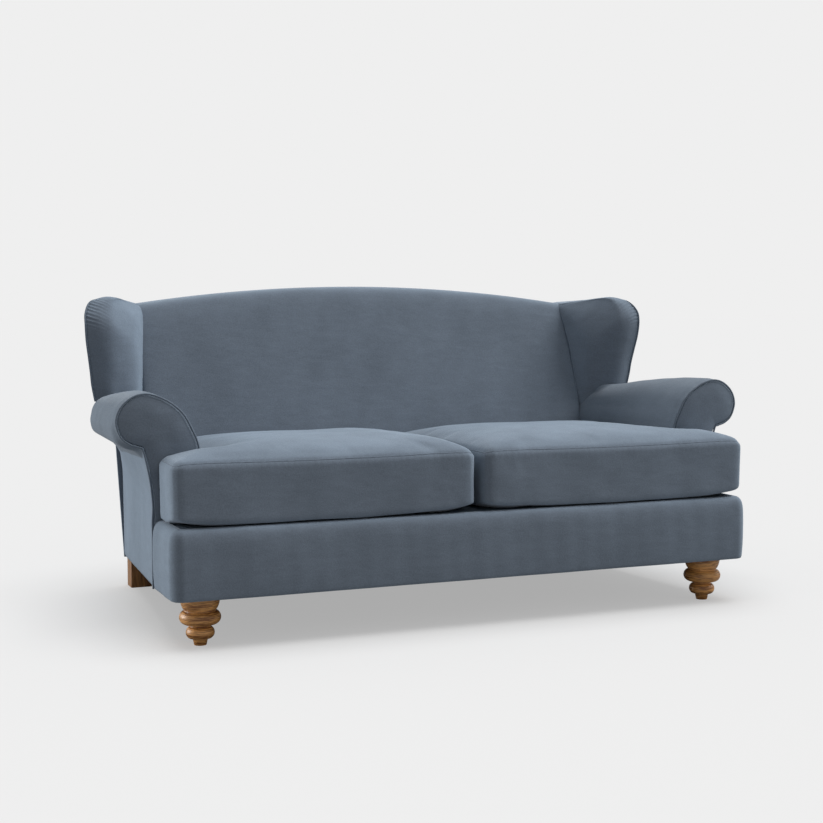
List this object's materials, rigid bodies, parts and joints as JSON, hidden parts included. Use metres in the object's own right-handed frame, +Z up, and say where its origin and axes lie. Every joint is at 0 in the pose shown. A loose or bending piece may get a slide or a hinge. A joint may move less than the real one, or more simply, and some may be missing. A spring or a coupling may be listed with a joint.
{
  "type": "sofa",
  "caption": "Upholstered sofa with scroll arms, padded wings and an arched back, loose T-shaped seat cushions, a proud padded front border and turned wooden front feet.",
  "frame": {"origin": "on the floor, under the middle of the bounding box", "axes": "+Z up, the seat faces -Y, +X is the viewer's right when facing the seat"},
  "size_m": [1.93, 1.04, 0.9429],
  "materials": {
    "turned_oak": "satin lacquered light oak",
    "frame_timber": "planed, unfinished",
    "frame_board": "plywood, unfinished",
    "steel": "zinc plated",
    "webbing": "woven elastic webbing",
    "velvet": "matte short-pile velvet, slate blue",
    "cushion_velvet": "matte short-pile velvet, slate blue",
    "piping": "self-covered piping",
    "deck_cloth": "plain platform cloth",
    "dust_cloth": "thin black lining",
    "zip_tape": "woven zip tape",
    "zip_metal": "nickel plated"
  },
  "bodies": {
    "sofa": {"front_foot_right": "turned_oak", "front_foot_left": "turned_oak", "rear_leg_right": "turned_oak", "rear_leg_left": "turned_oak", "front_corner_block_right": "frame_timber", "front_corner_block_left": "frame_timber", "rear_corner_block_right": "frame_timber", "rear_corner_block_left": "frame_timber", "front_seat_rail": "frame_timber", "front_return_rail_right": "frame_timber", "front_return_rail_left": "frame_timber", "side_rail_right": "frame_timber", "side_rail_left": "frame_timber", "rear_rail": "frame_timber", "seat_back_rail": "frame_timber", "centre_brace": "frame_timber", "back_post_right": "frame_timber", "back_post_left": "frame_timber", "centre_post": "frame_timber", "top_rail": "frame_timber", "lower_back_rail": "frame_timber", "arm_rail_right": "frame_timber", "arm_rail_left": "frame_timber", "arm_tack_rail_right": "frame_timber", "arm_tack_rail_left": "frame_timber", "wing_board_right": "frame_board", "wing_board_left": "frame_board", "arm_post_right": "frame_board", "arm_post_left": "frame_board", "hanger_bolts": "steel", "flange_nuts": "steel", "seat_springs": "steel", "spring_clips": "steel", "back_webbing": "webbing", "arm_pad_right": "velvet", "arm_pad_left": "velvet", "arm_facing_right": "velvet", "arm_facing_left": "velvet", "outside_arm_right": "velvet", "outside_arm_left": "velvet", "inside_back": "velvet", "wing_pad_right": "velvet", "wing_pad_left": "velvet", "outside_wing_right": "velvet", "outside_wing_left": "velvet", "outside_back": "velvet", "front_border": "velvet", "border_lip": "velvet", "facing_piping_right": "piping", "facing_piping_left": "piping", "wing_piping_right": "piping", "wing_piping_left": "piping", "seat_deck": "deck_cloth", "dust_cover": "dust_cloth"},
    "cushion_right": {"seat_cushion_right": "cushion_velvet", "cushion_zip_right": "zip_tape"},
    "slider_right": {"zip_slider_right": "zip_metal"},
    "cushion_left": {"seat_cushion_left": "cushion_velvet", "cushion_zip_left": "zip_tape"},
    "slider_left": {"zip_slider_left": "zip_metal"}
  },
  "joints": [
    {"name": "cushion_right_lift", "type": "slide", "parent": "sofa", "child": "cushion_right", "axis": [0, 0, 1], "range_m": [0, 0.36]},
    {"name": "zip_right_slide", "type": "slide", "parent": "cushion_right", "child": "slider_right", "axis": [1, 0, 0], "range_m": [0, 0.53]},
    {"name": "cushion_left_lift", "type": "slide", "parent": "sofa", "child": "cushion_left", "axis": [0, 0, 1], "range_m": [0, 0.36]},
    {"name": "zip_left_slide", "type": "slide", "parent": "cushion_left", "child": "slider_left", "axis": [-1, 0, 0], "range_m": [0, 0.53]}
  ]
}
